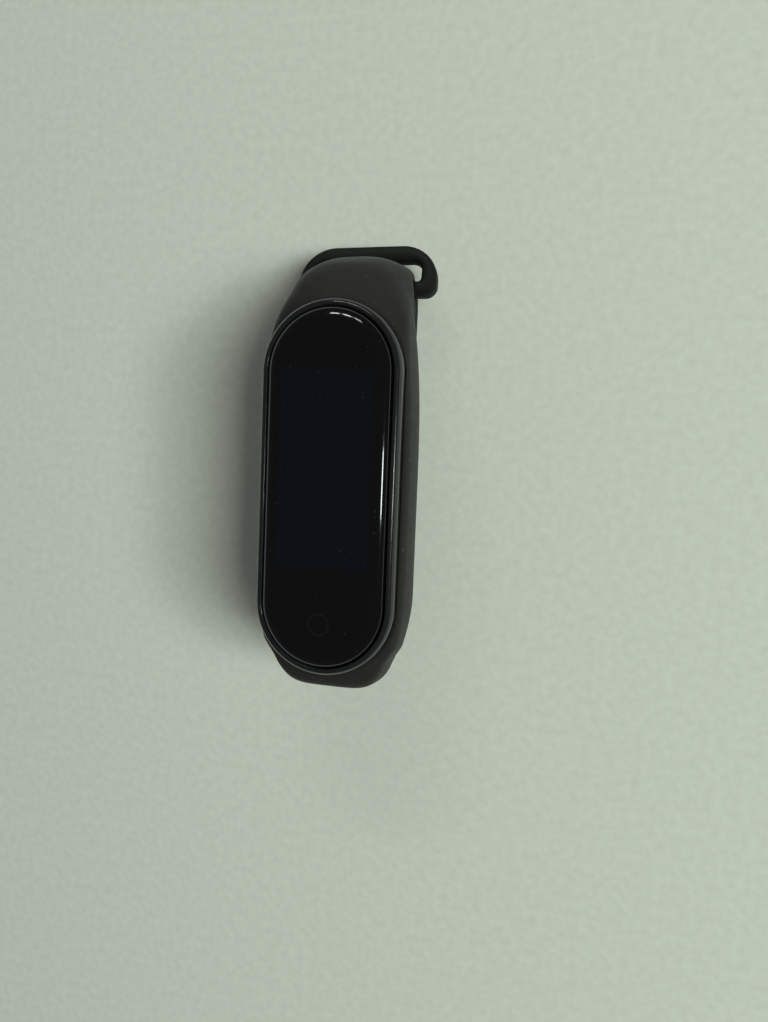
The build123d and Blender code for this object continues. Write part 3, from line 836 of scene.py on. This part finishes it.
def make_stud(metal):
    """The clasp stud: a domed head, a neck through the strap, and its backing plate."""
    middle = (STUD_LOW + STUD_HIGH) / 2
    head = STUD_HIGH[0]
    neck = head - 0.5
    low, high = STUD_LOW[2], STUD_HIGH[2]
    profile = [(0.3, low), (head - 0.5, low + 0.02), (head - 0.18, low + 0.09), (head, low + 0.27)]
    profile += [(head - 0.05, low + 0.5), (neck + 0.1, low + 0.6), (neck, low + 0.7), (neck, high)]
    stud = turned("stud", middle, profile)
    plate_radius = PLATE_HIGH[0]
    bottom, top = PLATE_LOW[2] + 0.01, PLATE_HIGH[2]
    edge = [(plate_radius, bottom), (plate_radius, top - 0.15), (plate_radius - 0.15, top)]
    plate = turned("stud_back", middle, edge + [(plate_radius - 0.5, top), (0.4, top)])
    for piece, node in ((stud, "clasp_stud"), (plate, "stud_plate")):
        paint(piece, metal)
        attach(piece, "strap")
        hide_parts(node)


def make_shell(material):
    """The capsule's body: waist, rim and the recess for the glass, and the bump round the lens."""
    bottom = SHELL_BACK + PAD_RELIEF
    foot = quarter((WAIST_INSET + 2.6, bottom), (WAIST_INSET, bottom + 2.6), "inset", 12)
    under = quarter((0.22, RIM_UNDERSIDE), (0.0, RIM_UNDERSIDE + 0.25), "inset", 6)
    lip = SHELL_TO_GLASS - 0.03
    ridge = 0.72 * lip
    over = quarter((0.0, RIM_TOP - 1.2), (ridge, RIM_TOP), "z", 14)
    inside = quarter((ridge, RIM_TOP), (lip, RIM_TOP - 0.4), "inset", 9)[1:] + [(lip, GLASS_LOW[2] - 0.05)]
    profile = [(WAIST_INSET + 3.2, bottom)] + foot + [(WAIST_INSET, RIM_UNDERSIDE)] + under + over + inside
    shell = lofted("capsule_body", inset_rings(CAPSULE_WIDTH, CAPSULE_LENGTH, profile))
    outer = [(0.0, bottom + 0.2), (0.0, SHELL_LOW[2] + 0.7)]
    outer += quarter((0.0, SHELL_LOW[2] + 0.7), (0.7, SHELL_LOW[2]), "z", 9)
    rings = inset_rings(BUMP_WIDTH, BUMP_LENGTH, outer)
    for grow, z in ((0.06, SHELL_LOW[2]), (0.0, SHELL_LOW[2] + 0.06), (0.0, bottom + 0.2)):
        radius = LENS_HIGH[0] + 0.02 + grow
        angles = [np.arctan2(y, x) for x, y, _ in rings[0]]
        rings.append([(radius * cos(a), radius * sin(a), z) for a in angles])
    bump = lofted("sensor_bump", rings, closed=True)
    for piece in (shell, bump):
        paint(piece, material)
        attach(piece, "capsule")
    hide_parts("capsule_shell")


def make_glass(material):
    """The cover glass: flat in the middle, with a wide soft edge."""
    low, high = GLASS_LOW[2], GLASS_HIGH[2]
    edge = quarter((0.0, high - GLASS_EDGE_FALL), (GLASS_EDGE_WIDTH, high), "z", 18)
    profile = [(0.1, low), (0.0, low + 0.1)] + edge + [(GLASS_EDGE_WIDTH + 0.4, high)]
    width = GLASS_HIGH[0] - GLASS_LOW[0]
    length = GLASS_HIGH[1] - GLASS_LOW[1]
    glass = lofted("screen_cover", inset_rings(width, length, profile))
    paint(glass, material)
    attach(glass, "capsule")
    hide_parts("cover_glass")


def paint_inner_parts():
    """Procedural finishes for every CAD part that is still shown."""
    finishes = {
        "lens_glass": gloss_plastic("lens_glass", (0.012, 0.012, 0.016), 0.08),
        "gold_contact": brushed_metal("gold_contact", (0.80, 0.58, 0.26), 0.25),
        "tape": plain_finish("tape", (0.03, 0.03, 0.03), 0.8),
        "flex": plain_finish("flex", (0.42, 0.20, 0.04), 0.45),
        "circuit_board": plain_finish("circuit_board", (0.01, 0.09, 0.03), 0.45),
        "chip": plain_finish("chip", (0.02, 0.02, 0.022), 0.5),
        "led": plain_finish("led", (0.55, 0.75, 0.40), 0.2),
        "pouch": plain_finish("pouch", (0.60, 0.60, 0.62), 0.35, 0.8),
        "frame_plastic": plain_finish("frame_plastic", (0.05, 0.05, 0.05), 0.55),
        "screen": plain_finish("screen", (0.012, 0.012, 0.03), 0.15),
        "steel": brushed_metal("steel", (0.60, 0.60, 0.62), 0.35),
    }
    for part in frame["record"]["subparts"]:
        node = frame["nodes"][part["node"]]
        if not node.hide_render:
            paint(node, finishes[part["material_slot"]])


# ---- setting -------------------------------------------------------------------------------------


def make_floor():
    """A plain pale floor under the band."""
    mesh = bpy.data.meshes.new("floor")
    reach = 2.5
    corners = [(-reach, -reach, 0), (reach, -reach, 0), (reach, reach, 0), (-reach, reach, 0)]
    mesh.from_pydata(corners, [], [(0, 1, 2, 3)])
    floor = bpy.data.objects.new("floor", mesh)
    bpy.context.scene.collection.objects.link(floor)
    floor.location.z = FLOOR_Z * MM
    paint(floor, plain_finish("floor_paper", FLOOR_COLOUR, 0.85))


def add_light(name, place, aim, size, power, colour, mirrored):
    """A soft rectangular light that faces a point; places are in millimetres."""
    lamp = bpy.data.lights.new(name, "AREA")
    lamp.shape = "RECTANGLE"
    lamp.size, lamp.size_y = size[0] * MM, size[1] * MM
    lamp.energy = power
    lamp.color = colour
    made = bpy.data.objects.new(name, lamp)
    made.location = Vector(place) * MM
    toward = (Vector(aim) - Vector(place)).normalized()
    made.rotation_mode = "QUATERNION"
    made.rotation_quaternion = toward.to_track_quat("-Z", "Y")
    made.visible_glossy = mirrored
    bpy.context.scene.collection.objects.link(made)


def light_scene():
    """Soft studio light: a big soft light to the right, strips past the top end, dim left fill."""
    world = bpy.data.worlds.new("studio")
    world.use_nodes = True
    background = world.node_tree.nodes["Background"]
    background.inputs["Color"].default_value = WORLD_COLOUR
    background.inputs["Strength"].default_value = WORLD_STRENGTH
    bpy.context.scene.world = world
    for light in LIGHTS:
        add_light(*light)


def place_camera():
    """A camera a hand's breadth over the screen, a little to its right."""
    camera = bpy.data.objects.new("camera", bpy.data.cameras.new("camera"))
    camera.data.lens = CAMERA_LENS
    camera.data.sensor_width = 36.0
    camera.data.clip_start = 0.005
    forward = (Vector(CAMERA_TARGET) - Vector(CAMERA_PLACE)).normalized()
    roll = radians(CAMERA_ROLL)
    level = forward.cross(Vector((0, 1, 0))).normalized()
    upright = level.cross(forward)
    right = level * cos(roll) + upright * sin(roll)
    up = upright * cos(roll) - level * sin(roll)
    camera.matrix_world = Matrix.Translation(Vector(CAMERA_PLACE) * MM) @ Matrix(
        (right, up, -forward)).transposed().to_4x4()
    bpy.context.scene.collection.objects.link(camera)
    bpy.context.scene.camera = camera


# ---- the scene -----------------------------------------------------------------------------------

bpy.context.scene.view_settings.view_transform = "Standard"
STRAP_RUBBER = soft_rubber("strap_rubber", (0.014, 0.0135, 0.012), (0.022, 0.021, 0.0185), 0.62)
LOOP_GLOSS = gloss_plastic("loop_rubber", (0.006, 0.007, 0.006), 0.45, 0.0, 0.16)
SHELL_GLOSS = gloss_plastic("shell_plastic", (0.006, 0.006, 0.007), 0.16)

make_strap(STRAP_RUBBER)
make_tail(STRAP_RUBBER)
make_loop(LOOP_GLOSS)
make_stud(brushed_metal("stud_steel", (0.55, 0.55, 0.56), 0.3))
make_shell(SHELL_GLOSS)
make_glass(screen_glass())
paint_inner_parts()
make_floor()
light_scene()
place_camera()
